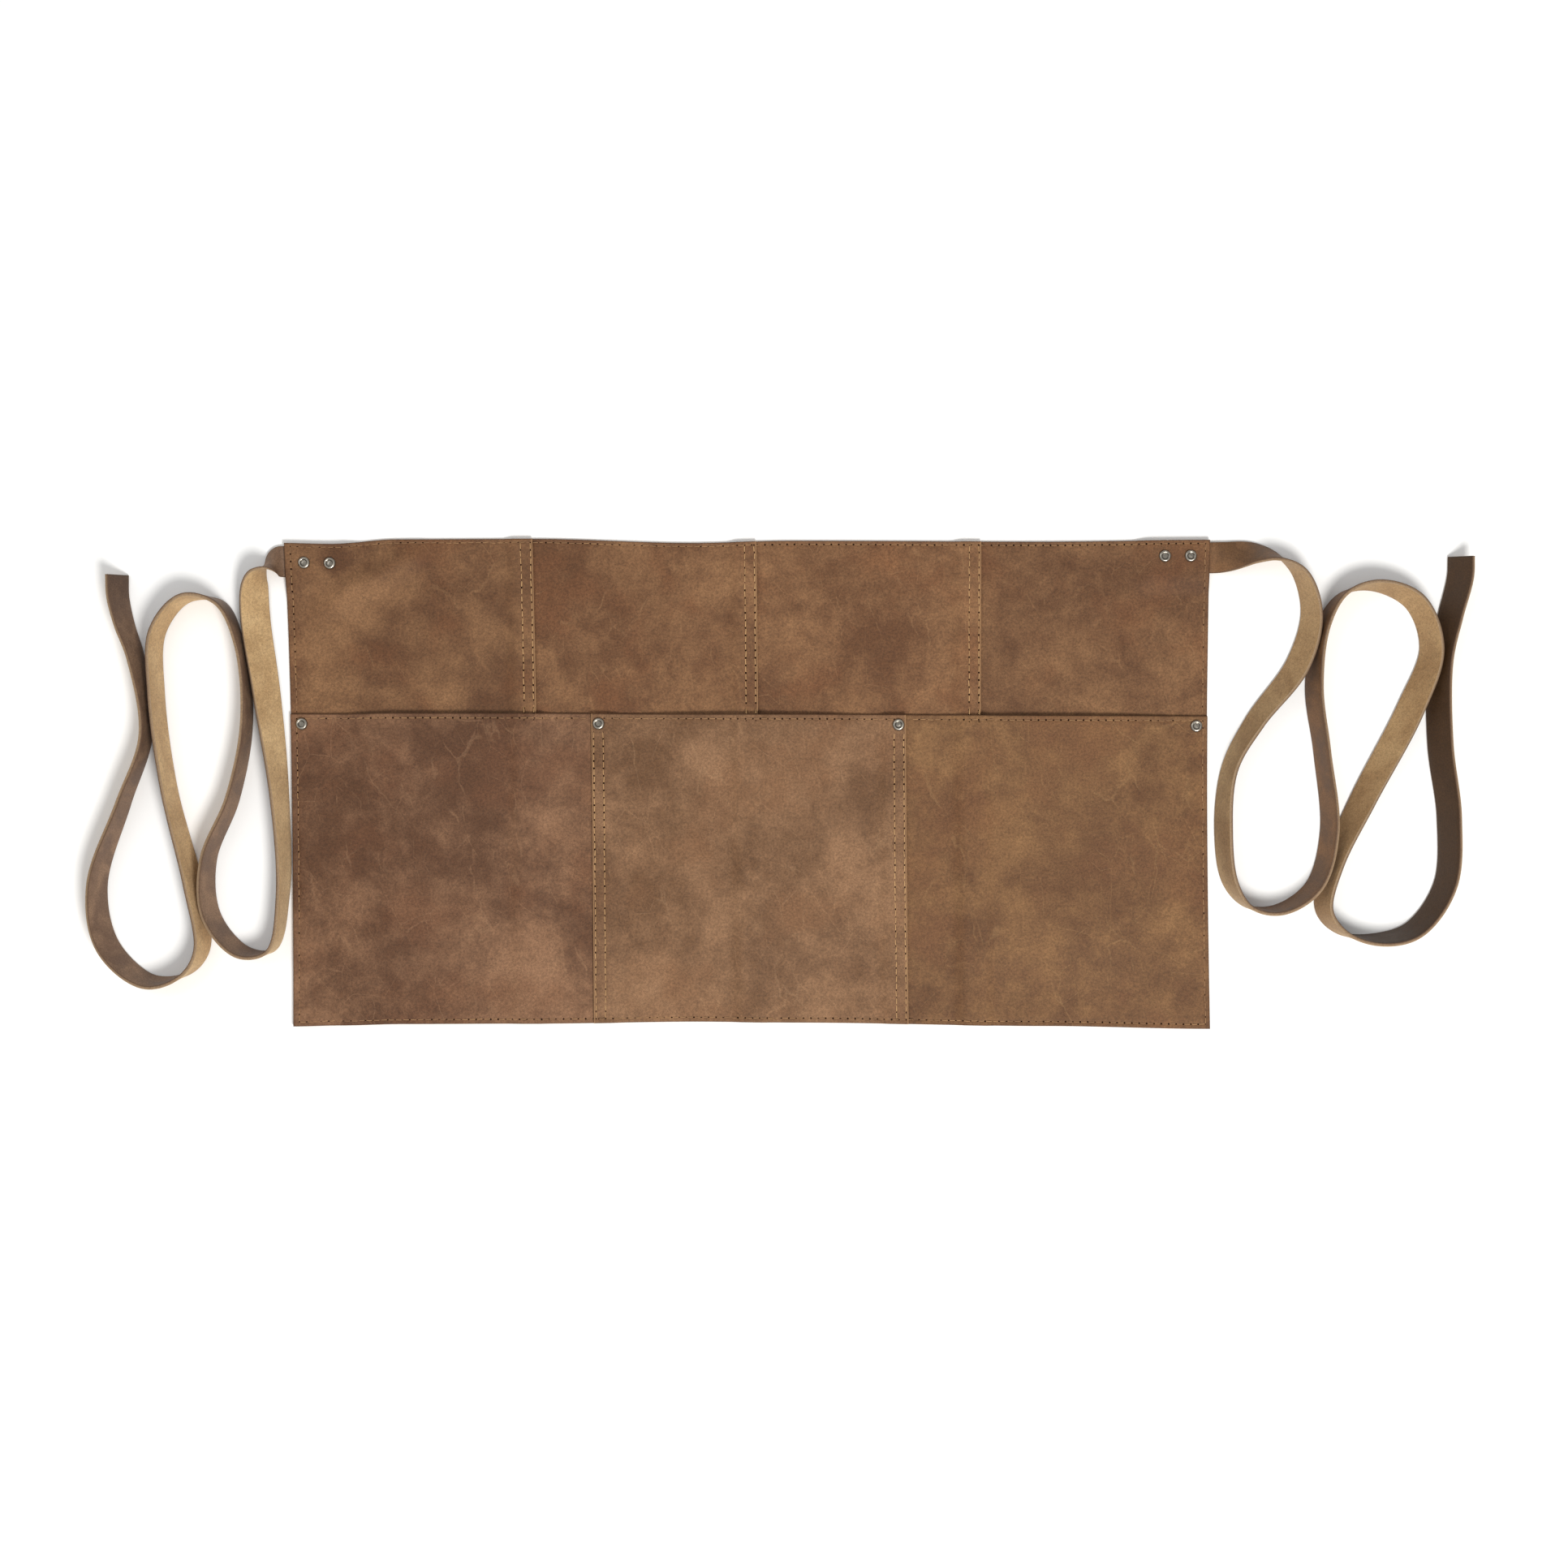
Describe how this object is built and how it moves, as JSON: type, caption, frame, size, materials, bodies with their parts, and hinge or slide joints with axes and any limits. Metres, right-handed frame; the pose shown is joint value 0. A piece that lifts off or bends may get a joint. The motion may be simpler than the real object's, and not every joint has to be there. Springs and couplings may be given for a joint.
{
  "type": "waist apron with pockets",
  "caption": "Short leather waist apron laid flat, with open lower pockets, lapped and stitched panels, riveted corners and long leather ties standing in loose loops.",
  "frame": {"origin": "middle of the apron's back face, on the surface that it lies on", "axes": "+X across the apron to the right in front view, +Y up to the waist edge, +Z out of the front face"},
  "size_m": [0.9108, 0.3235, 0.0206],
  "materials": {
    "apron_leather": "matt pull-up",
    "tie_leather": "rough flesh side, waxed grain side",
    "rivet_metal": "aged nickel",
    "thread": "waxed golden tan"
  },
  "bodies": {
    "root": {"back_panel_1": "apron_leather", "back_panel_2": "apron_leather", "back_panel_3": "apron_leather", "back_panel_4": "apron_leather", "pocket_panel_left": "apron_leather", "pocket_panel_middle": "apron_leather", "pocket_panel_right": "apron_leather", "tie_left": "tie_leather", "tie_right": "tie_leather", "tie_rivet_left_outer": "rivet_metal", "tie_rivet_left_inner": "rivet_metal", "tie_rivet_right_inner": "rivet_metal", "tie_rivet_right_outer": "rivet_metal", "pocket_rivet_1": "rivet_metal", "pocket_rivet_2": "rivet_metal", "pocket_rivet_3": "rivet_metal", "pocket_rivet_4": "rivet_metal"}
  },
  "joints": []
}
